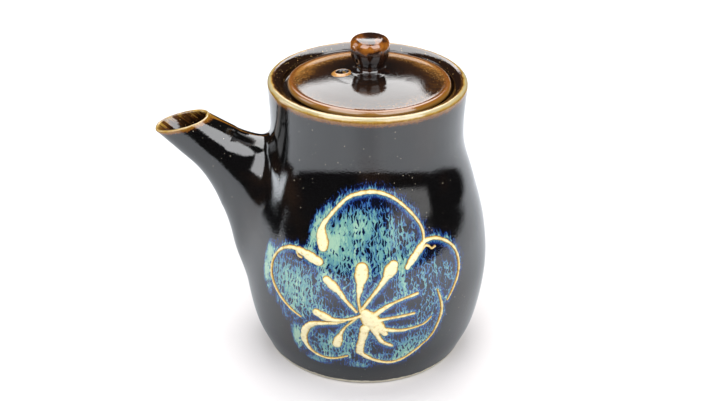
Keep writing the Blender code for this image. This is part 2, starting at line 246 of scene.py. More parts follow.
def unit(vectors):
    """Vectors, in the last axis, at length 1."""
    return vectors / np.linalg.norm(vectors, axis=-1, keepdims=True)


def travelled(points):
    """How far along a polyline each of its points is."""
    return np.r_[0, np.cumsum(np.linalg.norm(np.diff(points, axis=0), axis=1))]


def full_turn(count):
    """Angles in radians, evenly round a circle."""
    return np.arange(count) / count * 2 * pi


def resample(points, count):
    """A polyline's points, and any values after x, y and z, at equal distances along it."""
    points = np.asarray(points, float)
    along = travelled(points[:, :3])
    at = np.linspace(0, along[-1], count)
    return np.stack([np.interp(at, along, column) for column in points.T], -1)


WALL_CURVE = through(WALL, 24)


def wobble(azimuth, height):
    """A hand-thrown pot is a little out of round (mm, never outward of the CAD wall)."""
    return WOBBLE * (
        0.55 * np.sin(2 * azimuth + 0.8 + height / 60)
        + 0.3 * np.sin(3 * azimuth - 1.1 - height / 19)
        + 0.15 * np.sin(5 * azimuth + height / 9)
        - 1.0
    )


def wall_radius(azimuth, height):
    """Radius of the visual outer wall; azimuth in radians from -Y toward +X."""
    return np.interp(height, WALL_CURVE[:, 1], WALL_CURVE[:, 0]) + wobble(azimuth, height)


def around(radius, azimuth, height):
    """Points about the Z axis; azimuth in radians from -Y toward +X."""
    x, y = radius * np.sin(azimuth), -radius * np.cos(azimuth)
    return np.stack(np.broadcast_arrays(x, y, height), -1)


def on_wall(azimuth, height, lift=0.0):
    """Points on the outer wall, lifted away from the axis."""
    return around(wall_radius(azimuth, height) + lift, azimuth, height)


def azimuth_of(points):
    """Azimuth of points in radians, from -Y toward +X."""
    return np.arctan2(points[..., 0], -points[..., 1])


def grid_faces(rows, columns, close_rows=False):
    """Quads of a grid of points whose last column, and perhaps last row, join up with the first."""
    r = np.arange(rows if close_rows else rows - 1)[:, None]
    c = np.arange(columns)[None, :]
    r2, c2 = (r + 1) % rows, (c + 1) % columns
    corners = [r * columns + c, r * columns + c2, r2 * columns + c2, r2 * columns + c]
    return np.stack(corners, -1).reshape(-1, 4)


def add_object(name, data):
    """A new object in the scene."""
    thing = bpy.data.objects.new(name, data)
    bpy.context.collection.objects.link(thing)
    return thing


def make_piece(name, points, faces, material, values=None, uv=None, normals=None):
    """A smooth mesh object from points in mm, with a float attribute for each entry of values."""
    mesh = bpy.data.meshes.new(name)
    vertices = (np.asarray(points, float).reshape(-1, 3) * MM).tolist()
    mesh.from_pydata(vertices, [], np.asarray(faces).tolist())
    for key, column in (values or {}).items():
        attribute = mesh.attributes.new(key, "FLOAT", "POINT")
        attribute.data.foreach_set("value", np.asarray(column, np.float32).ravel())
    if uv is not None:
        corner = np.zeros(len(mesh.loops), np.int32)
        mesh.loops.foreach_get("vertex_index", corner)
        layer = mesh.uv_layers.new(name="surface")
        layer.uv.foreach_set("vector", np.asarray(uv, np.float32).reshape(-1, 2)[corner].ravel())
    mesh.shade_smooth()
    if normals is None:
        bm = bmesh.new()
        bm.from_mesh(mesh)
        bmesh.ops.remove_doubles(bm, verts=bm.verts, dist=0.002 * MM)
        bmesh.ops.recalc_face_normals(bm, faces=bm.faces)
        bm.to_mesh(mesh)
        bm.free()
    else:
        mesh.normals_split_custom_set_from_vertices(np.asarray(normals).reshape(-1, 3).tolist())
    mesh.materials.append(material)
    return add_object(name, mesh)


def place(piece, body, slot, *nodes):
    """Make a piece ride on a body in place of CAD nodes."""
    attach(piece, body)
    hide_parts(*nodes)
    return piece


# ---- shader helpers


class Graph:
    """Short calls that add nodes to a material or world and return their output sockets."""

    def __init__(self, name, library=bpy.data.materials):
        self.material = library.new(name)
        self.material.use_nodes = True
        self.tree = self.material.node_tree
        self.tree.nodes.clear()

    def node(self, kind, inputs=(), **settings):
        made = self.tree.nodes.new("ShaderNode" + kind)
        for key, value in settings.items():
            setattr(made, key, value)
        for key, value in dict(inputs).items():
            socket = made.inputs[key]
            if isinstance(value, bpy.types.NodeSocket):
                self.tree.links.new(value, socket)
            else:
                socket.default_value = value
        return made

    def value(self, name):
        return self.node("Attribute", attribute_name=name).outputs["Fac"]

    def math(self, operation, a, b=0.0, c=0.0):
        return self.node("Math", {0: a, 1: b, 2: c}, operation=operation).outputs[0]

    def linear(self, a, b, c):
        """a times b plus c."""
        return self.math("MULTIPLY_ADD", a, b, c)

    def vary(self, noise, amount, value):
        """A value that moves up and down with a noise, which swings about 0.5."""
        return self.linear(self.math("SUBTRACT", noise, 0.5), amount, value)

    def ramp(self, factor, *stops):
        made = self.node("ValToRGB", {"Fac": factor})
        elements = made.color_ramp.elements
        while len(elements) < len(stops):
            elements.new(1.0)
        for element, (position, colour) in zip(elements, stops):
            element.position = position
            element.color = (*colour, 1.0)
        return made.outputs["Color"]

    def between(self, value, low, high, start=0.0, end=1.0):
        """A smooth step from start to end as value goes from low to high."""
        inputs = {"Value": value, "From Min": low, "From Max": high, "To Min": start, "To Max": end}
        return self.node("MapRange", inputs, interpolation_type="SMOOTHSTEP").outputs["Result"]

    def mix(self, factor, a, b):
        made = self.node("Mix", {"Factor": factor}, data_type="RGBA")
        for socket, colour in ((made.inputs[6], a), (made.inputs[7], b)):
            if isinstance(colour, bpy.types.NodeSocket):
                self.tree.links.new(colour, socket)
            else:
                socket.default_value = (*colour, 1.0)
        return made.outputs[2]

    def noise(self, vector, scale, detail=2.0, roughness=0.5):
        inputs = {"Vector": vector, "Scale": scale, "Detail": detail, "Roughness": roughness}
        return self.node("TexNoise", inputs).outputs["Fac"]

    def vector(self, operation, a, b):
        return self.node("VectorMath", {0: a, 1: b}, operation=operation).outputs[0]

    def stretched(self, vector, factors):
        return self.vector("MULTIPLY", vector, factors)

    def object_mm(self):
        """Object coordinates in mm."""
        return self.stretched(self.node("TexCoord").outputs["Object"], (1000, 1000, 1000))

    def bump(self, height, distance, strength=1.0, normal=None):
        inputs = {"Height": height, "Distance": distance, "Strength": strength}
        if normal is not None:
            inputs["Normal"] = normal
        return self.node("Bump", inputs).outputs["Normal"]

    def finish(self, colour, roughness, normal, ior, more=()):
        inputs = {"Base Color": colour, "Roughness": roughness, "Normal": normal, "IOR": ior}
        shader = self.node("BsdfPrincipled", {**inputs, **dict(more)})
        self.node("OutputMaterial", {0: shader.outputs[0]})
        return self.material


GLAZE_IOR = 1.85


def glaze_normal(graph, place):
    """Faint orange peel and slow waves of a poured glaze."""
    waves = graph.noise(place, 0.11, 1.0)
    peel = graph.noise(place, 2.0, 2.0)
    slow = graph.bump(waves, 0.14 * MM, 0.5)
    return graph.bump(peel, 0.045 * MM, 0.5, slow)


def specks(graph, place, size, share):
    """Tiny scattered dots, thicker in some places: 1 inside a dot, 0 elsewhere."""
    cells = graph.node("TexVoronoi", {"Vector": place, "Scale": 1 / size})
    chance = graph.node("SeparateColor", {0: cells.outputs["Color"]})
    crowd = graph.between(graph.noise(place, 0.09, 1.0), 0.35, 0.65, 0.3 * share, 1.7 * share)
    kept = graph.math("LESS_THAN", chance.outputs[0], crowd)
    radius = graph.linear(chance.outputs[1], 0.12 / size, 0.04 / size)
    dot = graph.math("LESS_THAN", cells.outputs["Distance"], radius)
    return graph.math("MULTIPLY", kept, dot)


BLACK = (0.003, 0.0028, 0.0028)
SOOT_BROWN = (0.014, 0.008, 0.005)
DEEP_BROWN = (0.014, 0.006, 0.003)
AMBER = (0.25, 0.115, 0.012)
HONEY = (0.40, 0.245, 0.048)
CREAM = (0.41, 0.34, 0.185)


def blossom_glaze(graph, base):
    """The blue and teal glaze that ran down under the blossom, over a base colour.

    It crazed into tall cells.  Where it is thick the cells are full of teal; where it is thin
    only the threads between them are left, over black.
    """
    flat = graph.node("UVMap", uv_map="surface").outputs[0]
    edge, flow, lee = graph.value("patch"), graph.value("flow"), graph.value("lee")
    moved = flat
    for scale, reach in ((0.35, 1.6), (1.3, 0.8)):
        swirl = graph.node("TexNoise", {"Vector": flat, "Scale": scale, "Detail": 1.0})
        swirl = graph.vector("SUBTRACT", swirl.outputs["Color"], (0.5, 0.5, 0.5))
        moved = graph.vector("ADD", moved, graph.stretched(swirl, (reach, reach, 0.0)))
    cells = {"Vector": graph.stretched(moved, (1.20, 0.40, 1.0)), "Scale": 1.0}
    threads = graph.node("TexVoronoi", cells, feature="DISTANCE_TO_EDGE", voronoi_dimensions="2D")
    depth = threads.outputs["Distance"]
    cell = graph.node("TexVoronoi", cells, voronoi_dimensions="2D").outputs["Color"]
    chance = graph.node("SeparateColor", {0: cell}).outputs[0]
    streaks = graph.noise(graph.stretched(moved, (1.4, 0.11, 1.0)), 1.0, 2.0, 0.6)
    fine = graph.noise(graph.stretched(flat, (3.4, 1.2, 1.0)), 1.0, 2.0, 0.65)
    slow = graph.noise(graph.stretched(flat, (0.22, 0.10, 1.0)), 1.0, 1.0)
    thick = graph.linear(slow, 0.6, flow)
    thick = graph.linear(streaks, 1.2, thick)
    thick = graph.linear(lee, -0.7, thick)
    thick = graph.math("SUBTRACT", thick, 0.82)
    reach = graph.math("MINIMUM", graph.linear(thick, 0.42, -0.08), 0.17)
    reach = graph.math("ADD", reach, graph.between(flow, 1.0, 1.5, 0.0, 0.5))
    reach = graph.linear(chance, 0.26, reach)
    reach = graph.vary(fine, 0.20, reach)
    covered = graph.between(graph.math("SUBTRACT", depth, reach), -0.07, 0.09, 1.0, 0.0)
    shade = graph.linear(thick, 0.46, 0.44)
    shade = graph.vary(streaks, 0.5, shade)
    well = graph.linear(thick, 0.05, 0.04)
    shade = graph.vary(fine, 0.5, shade)
    amount = graph.linear(graph.math("SUBTRACT", shade, well), covered, well)
    amount = graph.math("MULTIPLY", amount, graph.linear(lee, -0.88, 1.0))
    halo = graph.math("MULTIPLY", graph.value("halo"), graph.between(fine, 0.30, 0.60, 0.25, 1.0))
    amount = graph.linear(halo, 0.70, amount)
    border = graph.vary(fine, 5.0, edge)
    border = graph.vary(streaks, 4.0, border)
    inside = graph.between(border, -1.2, 0.8)
    amount = graph.math("MULTIPLY", amount, graph.between(border, -0.5, 3.0, 0.35, 1.0))
    colour = graph.ramp(
        amount,
        (0.05, (0.003, 0.004, 0.010)),
        (0.16, (0.005, 0.013, 0.085)),
        (0.30, (0.016, 0.055, 0.240)),
        (0.44, (0.055, 0.165, 0.300)),
        (0.58, (0.095, 0.250, 0.290)),
        (0.76, (0.165, 0.360, 0.300)),
        (1.00, (0.330, 0.510, 0.370)),
    )
    return graph.mix(inside, base, colour)


def pot_glaze(name):
    """Black tenmoku glaze that breaks to rust, amber and honey over the lip."""
    graph = Graph(name)
    place = graph.object_mm()
    cloud = graph.noise(place, 0.06, 3.0)
    base = graph.mix(graph.between(cloud, 0.45, 0.75), BLACK, SOOT_BROWN)
    base = graph.mix(specks(graph, place, 0.9, 0.16), base, (0.34, 0.30, 0.23))
    base = blossom_glaze(graph, base)
    ragged = graph.noise(place, 2.2, 3.0, 0.75)
    wide = graph.noise(place, 0.35, 2.0)
    lip = graph.value("lip")
    gold = graph.between(lip, -1.2, -0.6, 1.0, 0.0)
    gold = graph.math("MULTIPLY", gold, specks(graph, place, 0.75, 0.5))
    growing = graph.between(lip, 0.3, 3.0, 0.6, 3.4)
    lip = graph.vary(ragged, growing, lip)
    lip = graph.vary(wide, 1.2, lip)
    lip = graph.math("DIVIDE", graph.math("ADD", lip, 4.0), 10.0)
    fringe = graph.ramp(
        lip,
        (0.26, DEEP_BROWN),
        (0.33, (0.09, 0.032, 0.007)),
        (0.37, HONEY),
        (0.41, CREAM),
        (0.47, CREAM),
        (0.51, HONEY),
        (0.56, AMBER),
        (0.62, (0.20, 0.075, 0.010)),
        (0.67, (0.10, 0.035, 0.008)),
        (0.74, BLACK),
    )
    thin = graph.between(lip, 0.66, 0.74, 1.0, 0.0)
    base = graph.mix(thin, base, fringe)
    base = graph.mix(gold, base, (0.50, 0.33, 0.12))
    foot = graph.value("foot")
    foot = graph.vary(wide, 0.9, foot)
    bare = graph.between(foot, 1.4, 1.8, 1.0, 0.0)
    grit = graph.noise(place, 2.6, 4.0, 0.7)
    clay = graph.mix(grit, (0.52, 0.44, 0.31), (0.86, 0.79, 0.62))
    base = graph.mix(bare, base, clay)
    roughness = graph.linear(bare, 0.65, 0.07)
    return graph.finish(base, roughness, glaze_normal(graph, place), GLAZE_IOR)


def slip_glaze():
    """Cream slip under clear glaze, amber where it thins out at its edges and in small pits."""
    graph = Graph("cream_slip")
    place = graph.object_mm()
    crest = graph.value("crest")
    ragged = graph.noise(place, 2.2, 3.0, 0.65)
    pits = graph.between(graph.noise(place, 0.9, 2.0, 0.6), 0.56, 0.68)
    height = graph.vary(ragged, 0.65, crest)
    colour = graph.ramp(
        height,
        (0.00, (0.10, 0.035, 0.006)),
        (0.26, (0.31, 0.15, 0.02)),
        (0.54, (0.58, 0.38, 0.09)),
        (0.80, (0.80, 0.66, 0.32)),
        (1.00, (0.88, 0.77, 0.47)),
    )
    colour = graph.mix(graph.math("MULTIPLY", pits, 0.42), colour, (0.55, 0.32, 0.06))
    normal = graph.bump(ragged, 0.22 * MM, 0.7)
    return graph.finish(colour, 0.12, normal, 1.5)


def lid_glaze():
    """Iron brown glaze: rust near the lid's edge and at the back, nearly black at the middle."""
    graph = Graph("lid_glaze")
    place = graph.object_mm()
    lip = graph.value("lip")
    warm = graph.value("warm")
    ragged = graph.noise(place, 1.4, 4.0, 0.75)
    cloud = graph.noise(place, 0.25, 3.0, 0.6)
    warm = graph.vary(cloud, 0.3, warm)
    warm = graph.vary(ragged, 0.8, warm)
    base = graph.ramp(
        warm,
        (0.05, (0.008, 0.005, 0.004)),
        (0.42, (0.026, 0.011, 0.005)),
        (0.66, (0.210, 0.088, 0.018)),
        (0.95, (0.500, 0.235, 0.055)),
    )
    gold = graph.between(graph.value("warm"), 0.3, 0.6)
    gold = graph.math("MULTIPLY", gold, specks(graph, place, 0.6, 0.55))
    base = graph.mix(gold, base, (0.55, 0.36, 0.14))
    lip = graph.vary(ragged, 0.8, lip)
    edge = graph.ramp(
        graph.math("DIVIDE", lip, 4.0),
        (0.00, (0.27, 0.13, 0.022)),
        (0.10, (0.24, 0.095, 0.014)),
        (0.25, (0.19, 0.062, 0.010)),
        (0.60, (0.12, 0.042, 0.008)),
    )
    base = graph.mix(graph.between(lip, 1.3, 2.8, 1.0, 0.0), base, edge)
    return graph.finish(base, 0.07, glaze_normal(graph, place), GLAZE_IOR)


def knob_glaze():
    """The lid's glaze on the knob: thin and orange on the ball's shoulders."""
    graph = Graph("knob_glaze")
    place = graph.object_mm()
    warm = graph.value("warm")
    ragged = graph.noise(place, 1.2, 4.0, 0.7)
    cloud = graph.noise(place, 0.35, 2.0)
    warm = graph.vary(cloud, 1.2, warm)
    warm = graph.vary(ragged, 0.35, warm)
    colour = graph.ramp(
        warm,
        (0.10, (0.009, 0.005, 0.004)),
        (0.45, (0.035, 0.012, 0.005)),
        (0.66, (0.200, 0.062, 0.009)),
        (0.92, (0.360, 0.125, 0.016)),
    )
    return graph.finish(colour, 0.07, glaze_normal(graph, place), GLAZE_IOR)


# ---- blossom: slip lines


def slip_lines(paths):
    """Each slip line as dense points (u, v, half width) on the unrolled wall, in mm."""
    lines = {}
    for name, path in paths.items():
        path = np.array(path, float)
        path[:, 0] = np.radians(path[:, 0]) * UNROLL
        dense = through(path, 12)
        length = np.linalg.norm(np.diff(dense[:, :2], axis=0), axis=1).sum()
        flat = np.c_[dense[:, 0], dense[:, 1], 0 * dense[:, 0], dense[:, 2]]
        even = resample(flat, max(6, int(length / 0.12)))
        along, phase = np.linspace(0, length, len(even)), len(name)
        ripple = 1 + 0.07 * np.sin(along * 1.7 + phase) + 0.05 * np.sin(along * 3.9 + 2 * phase)
        lines[name] = np.c_[even[:, 0], even[:, 1], even[:, 3] * ripple]
    return lines


LINES = slip_lines(SLIP)
TWIGS = slip_lines(SLIP_TWIGS)


def slip_heights():
    """Height of every slip line over a fine grid of the unrolled wall, and the grid's axes."""
    every = np.vstack(list(LINES.values()))
    u = np.arange(every[:, 0].min() - 3, every[:, 0].max() + 3, SLIP_GRID)
    v = np.arange(every[:, 1].min() - 3, every[:, 1].max() + 3, SLIP_GRID)
    heights = []
    for name, line in LINES.items():
        line = np.vstack([line, TWIGS[name]]) if name in TWIGS else line
        nearest = np.full((len(v), len(u)), 9.0)
        width = np.full((len(v), len(u)), 0.3)
        for x, y, half in line:
            reach = half + 1.3
            i0, i1 = np.searchsorted(u, (x - reach, x + reach))
            j0, j1 = np.searchsorted(v, (y - reach, y + reach))
            q = np.hypot(u[None, i0:i1] - x, v[j0:j1, None] - y) / half
            window = nearest[j0:j1, i0:i1]
            closer = q < window
            window[closer] = q[closer]
            width[j0:j1, i0:i1][closer] = half
        top = SLIP_HEIGHT * np.clip(width / 1.1, 0.35, 1.0) ** 0.6
        bead = top * np.sqrt(np.clip(1 - nearest**2, 0, 1)) ** 1.2
        outside = -np.clip(nearest - 1, 0, 2) * width * 0.8
        heights.append(np.where(nearest < 1, bead, outside))
    return u, v, np.array(heights)


def merge(heights):
    """The surface of all the lines together, with a small fillet where they meet."""
    blend = 0.16
    best = heights[0]
    for other in heights[1:]:
        near = np.clip(0.5 + 0.5 * (other - best) / blend, 0, 1)
        fillet = blend * near * (1 - near) * (np.minimum(best, other) > -0.3)
        best = best * (1 - near) + other * near + fillet
    return best


def lumpy(rows, columns):
    """Smooth random lumps, about six grid steps across, over a grid."""
    lumps = np.random.default_rng(7).normal(size=(rows // 6 + 3, columns // 6 + 3))
    at_rows = np.linspace(0, lumps.shape[0] - 1.001, rows)
    at_columns = np.linspace(0, lumps.shape[1] - 1.001, columns)
    r0, c0 = at_rows.astype(int)[:, None], at_columns.astype(int)[None, :]
    fr, fc = at_rows[:, None] - r0, at_columns[None, :] - c0
    fr, fc = fr * fr * (3 - 2 * fr), fc * fc * (3 - 2 * fc)
    return (
        lumps[r0, c0] * (1 - fr) * (1 - fc)
        + lumps[r0 + 1, c0] * fr * (1 - fc)
        + lumps[r0, c0 + 1] * (1 - fr) * fc
        + lumps[r0 + 1, c0 + 1] * fr * fc
    )


def make_slip(material):
    """One closed piece for each CAD slip line, split where one line gives way to the next."""
    u, v, heights = slip_heights()
    surface = merge(heights)
    surface = surface + 0.035 * lumpy(len(v), len(u)) * np.clip(surface / 0.3, 0, 1)
    owner = heights.argmax(0)
    azimuth = np.broadcast_to(u[None, :] / UNROLL, surface.shape)
    height = np.broadcast_to(v[:, None], surface.shape)
    top = on_wall(azimuth, height, np.maximum(surface, -0.25))
    bottom = on_wall(azimuth, height, -0.45)
    normal = unit(np.cross(np.gradient(top, axis=1), np.gradient(top, axis=0)))
    top, bottom, normal = (grid.reshape(-1, 3) for grid in (top, bottom, normal))
    kept = surface > -0.12
    quad_kept = kept[:-1, :-1] & kept[1:, :-1] & kept[:-1, 1:] & kept[1:, 1:]
    quad_owner = owner[:-1, :-1]
    index = np.arange(surface.size).reshape(surface.shape)
    crest = np.clip(surface / (0.75 * SLIP_HEIGHT), 0, 1)
    for number, name in enumerate(LINES):
        mine = quad_kept & (quad_owner == number)
        corners = (index[:-1, :-1], index[:-1, 1:], index[1:, 1:], index[1:, :-1])
        quads = np.stack([corner[mine] for corner in corners], -1)
        edges = np.vstack([quads[:, pair] for pair in ([0, 1], [1, 2], [2, 3], [3, 0])])
        key = np.sort(edges, 1) @ np.array([surface.size, 1])
        _, first, count = np.unique(key, return_index=True, return_counts=True)
        rim = edges[first[count == 1]]
        used, local = np.unique(quads, return_inverse=True)
        local = local.reshape(quads.shape)
        rim = np.searchsorted(used, rim)
        n = len(used)
        sides = np.c_[rim[:, 1], rim[:, 0], rim[:, 0] + n, rim[:, 1] + n]
        faces = np.vstack([local, local[:, ::-1] + n, sides])
        points = np.vstack([top[used], bottom[used]])
        values = {"crest": np.tile(crest.reshape(-1)[used], 2)}
        normals = np.vstack([normal[used]] * 2)
        piece = make_piece("glazed_" + name, points, faces, material, values, normals=normals)
        place(piece, "pot", "cream_slip", name)


# ---- glaze values on the wall


def polygon_distance(u, v, polygon):
    """Distance to a closed outline on the unrolled wall, positive inside."""
    best = np.full(u.shape, 1e9)
    inside = np.zeros(u.shape, bool)
    for (x0, y0), (x1, y1) in zip(polygon, np.roll(polygon, -1, 0)):
        dx, dy = x1 - x0, y1 - y0
        t = np.clip(((u - x0) * dx + (v - y0) * dy) / (dx * dx + dy * dy + 1e-9), 0, 1)
        best = np.minimum(best, np.hypot(u - x0 - t * dx, v - y0 - t * dy))
        if y0 != y1:
            crosses = ((y0 > v) != (y1 > v)) & (u < (x1 - x0) * (v - y0) / (y1 - y0) + x0)
            inside ^= crosses
    return np.where(inside, best, -best)


def blossom_values(azimuth, height):
    """Values of the blue glaze: how far inside it, how thick it ran, how sheltered below a slip
    line, and how near to one."""
    u, v = azimuth * UNROLL, height
    near = (abs(azimuth) < radians(75)) & (height > 2) & (height < 78)
    patch, flow = np.full(u.shape, -9.0), np.zeros(u.shape)
    lee, halo = np.zeros(u.shape), np.zeros(u.shape)
    x, y = u[near], v[near]
    heart = (radians(PATCH_HEART[0]) * UNROLL, PATCH_HEART[1])
    best = np.full(x.shape, -9.0)
    for name, (az, z) in PATCH_PETALS:
        outline = np.vstack([LINES[name][::8, :2], [(radians(az) * UNROLL, z)], [heart]])
        best = np.maximum(best, polygon_distance(x, y, outline))
    outer_right = LINES["slip_petal_right_inner"][::8, :2]
    best = np.maximum(best, polygon_distance(x, y, np.vstack([outer_right, [heart]])))
    amount = np.zeros(x.shape)
    for az, z, wide, tall, strength in THICK_RUNS:
        d = ((x - radians(az) * UNROLL) / wide) ** 2 + ((y - z) / tall) ** 2
        amount = np.maximum(amount, strength * np.exp(-0.6 * d))
    patch[near] = np.clip(best + 2.0 + 2.6 * amount, -9, 9)
    flow[near] = amount
    shade, close = np.zeros(x.shape), np.zeros(x.shape)
    for line in LINES.values():
        for px, py, half in line[::3]:
            below = py - y
            gap = np.hypot(x - px, below) - half
            hit = gap < 1.5
            close[hit] = np.maximum(close[hit], 1 - gap[hit] / 1.5)
            side = abs(x - px) / (half + 0.5)
            hit = (below > -0.2) & (below < 8) & (side < 1)
            shelter = np.exp(-below[hit] / 2.6) * (1 - side[hit] ** 2) * min(1, half / 0.5)
            shade[hit] = np.maximum(shade[hit], shelter)
    lee[near], halo[near] = shade, np.clip(close, 0, 1)
    return {"patch": patch, "flow": flow, "lee": lee, "halo": halo}


# ---- pot body


def lip_profile():
    """Radius and height of points from the wall's top, over the lip, into the gallery."""
    radius = 1.3
    centre_r, centre_z = WALL[-1][0] - radius, HEIGHT - radius
    angles = np.radians(np.linspace(0, 112, 15))
    arc = np.c_[centre_r + radius * np.cos(angles), centre_z + radius * np.sin(angles)]
    inside = through(GALLERY, 4)
    return np.vstack([arc, inside])


def pot_outline():
    """The pot's outline from the middle of its base, over the lip, to the middle of its floor,
    and each point's distance along it from the lip, positive outside."""
    outer = WALL_CURVE[:-1]
    inner = through([(r - WALL_THICKNESS, z) for r, z in WALL if 11 < z < 79], 14)[::-1]
    floor = through(((33.0, 12.0), (30.2, 7.6), (25.0, 5.4), (14.0, 5.0), (0.0, 5.0)), 10)
    outline = np.vstack([FOOT, outer, lip_profile(), inner[:-1], floor])
    crest = len(FOOT) + len(outer) + 9
    along = travelled(outline)
    return outline, np.clip(along[crest] - along, -12, 12)


def refine(outline, values, step):
    """Split an outline's long spans."""
    rows = [np.r_[outline[0], values[0]]]
    for a, b, x, y in zip(outline, outline[1:], values, values[1:]):
        pieces = max(1, int(np.ceil(np.linalg.norm(b - a) / step)))
        for k in range(1, pieces + 1):
            t = k / pieces
            rows.append(np.r_[a + (b - a) * t, x + (y - x) * t])
    rows = np.array(rows)
    return rows[:, :2], rows[:, 2]


def make_pot(material):
    """The thrown pot with its foot, lip, gallery and inside."""
    outline, lip = refine(*pot_outline(), 0.9)
    azimuth = (np.arange(POT_SIDES) + 0.5) / POT_SIDES * 2 * pi - pi
    azimuths, heights = np.broadcast_arrays(azimuth, outline[:, 1:])
    radius = outline[:, :1]
    radius = radius + wobble(azimuths, heights) * np.clip(radius / 20, 0, 1)
    points = around(radius, azimuths, heights)
    outside = np.zeros(len(outline), bool)
    outside[: int(np.argmax(outline[:, 1]))] = True
    foot = np.where(outside, outline[:, 1], 9.0)
    values = blossom_values(azimuths, np.where(outside[:, None], heights, 0.0))
    values["lip"] = np.broadcast_to(lip[:, None], azimuths.shape)
    values["foot"] = np.broadcast_to(foot[:, None], azimuths.shape)
    uv = np.stack([azimuths * UNROLL, heights], -1)
    pot = make_piece("pot", points, grid_faces(*azimuths.shape), material, values, uv)
    return place(pot, "pot", "black_glaze", "pot_body")


# ---- spout


def spout_points(sections, thickness=0.0):
    """Rings (row, side, xyz) of the spout, made thinner by a wall thickness."""
    low, high, half = sections[:, :2], sections[:, 2:4], sections[:, 4]
    middle = (low + high) / 2
    depth = low - middle
    length = np.linalg.norm(depth, axis=1, keepdims=True)
    thickness = np.broadcast_to(thickness, half.shape)[:, None]
    depth = depth * (length - thickness) / length
    half = half[:, None] - thickness
    angle = full_turn(SPOUT_SIDES)
    squareness = 1 - 0.14 * np.exp(-np.arange(len(sections)) / 20)[:, None]
    along = np.sign(np.cos(angle)) * abs(np.cos(angle)) ** squareness
    across = np.sign(np.sin(angle)) * abs(np.sin(angle)) ** squareness
    reach = middle[:, :1] + depth[:, :1] * along
    height = middle[:, 1:] + depth[:, 1:] * along
    return np.stack([-reach, -half * across, height], -1)


def outside_wall(points):
    """Distance of points from the pot's outer wall, positive outside."""
    radius = np.hypot(points[..., 0], points[..., 1])
    return radius - wall_radius(azimuth_of(points), points[..., 2])


def snap_to_wall(point, lift=0.0):
    """The point of the outer wall at the same azimuth and height."""
    return on_wall(azimuth_of(point), point[2], lift)


def wall_normal(point):
    """Outward normal of the outer wall at a point on it."""
    azimuth = azimuth_of(point)
    slope = wall_radius(azimuth, point[2] + 0.5) - wall_radius(azimuth, point[2] - 0.5)
    return unit(np.array([sin(azimuth), -cos(azimuth), -slope]))


def meet_wall(line):
    """The first point where a line from the mouth enters the wall, and the points before it."""
    distance = outside_wall(line)
    entered = np.nonzero(distance < 0)[0]
    k = int(entered[0]) if len(entered) else len(line) - 1
    t = distance[k - 1] / (distance[k - 1] - distance[k] + 1e-12)
    hit = line[k - 1] + t * (line[k] - line[k - 1])
    return snap_to_wall(hit), line[:k]


def flow_over(line, hit, outward):
    """Carry one side line of the spout off in a smooth curve onto the wall."""
    reach = np.interp(hit[2], ROOT_HEIGHTS, ROOT_REACHES)
    gap = np.linalg.norm(hit - line[-1])
    dropped = np.searchsorted(travelled(line[::-1]), max(0.0, reach - gap))
    kept = line[: len(line) - int(dropped)]
    start = kept[-1]
    normal = wall_normal(hit)
    away = unit(outward - normal * (outward @ normal))
    end = snap_to_wall(hit + away * reach, 0.03)
    end_normal = wall_normal(end)
    toward = end - hit
    toward -= end_normal * (toward @ end_normal)
    toward *= reach / np.linalg.norm(toward)
    leave = kept[-1] - kept[-2]
    leave *= np.linalg.norm(hit - start) / np.linalg.norm(leave)
    t = np.linspace(0, 1, FILLET_ROWS + 1)[1:, None]
    p1, p2 = start + 0.72 * leave, end - 0.72 * toward
    curve = start * (1 - t) ** 3 + 3 * p1 * t * (1 - t) ** 2 + 3 * p2 * t * t * (1 - t) + end * t**3
    sunk = snap_to_wall(end + toward * 0.12, -0.5)
    return kept, curve, sunk


def relax(rows, rounds):
    """Even out a closed grid of points or normals; its first and last rows stay."""
    rows = rows.copy()
    for _ in range(rounds):
        level = (rows[:-2] + rows[2:]) / 2
        beside = (np.roll(rows[1:-1], 1, 1) + np.roll(rows[1:-1], -1, 1)) / 2
        rows[1:-1] = 0.4 * rows[1:-1] + 0.3 * level + 0.3 * beside
    return rows


def surface_normals(grid):
    """Normals of a grid of points that is closed sideways, in or out as its rows run."""
    across = np.roll(grid, -1, 1) - np.roll(grid, 1, 1)
    return unit(np.cross(across, np.gradient(grid, axis=0)))


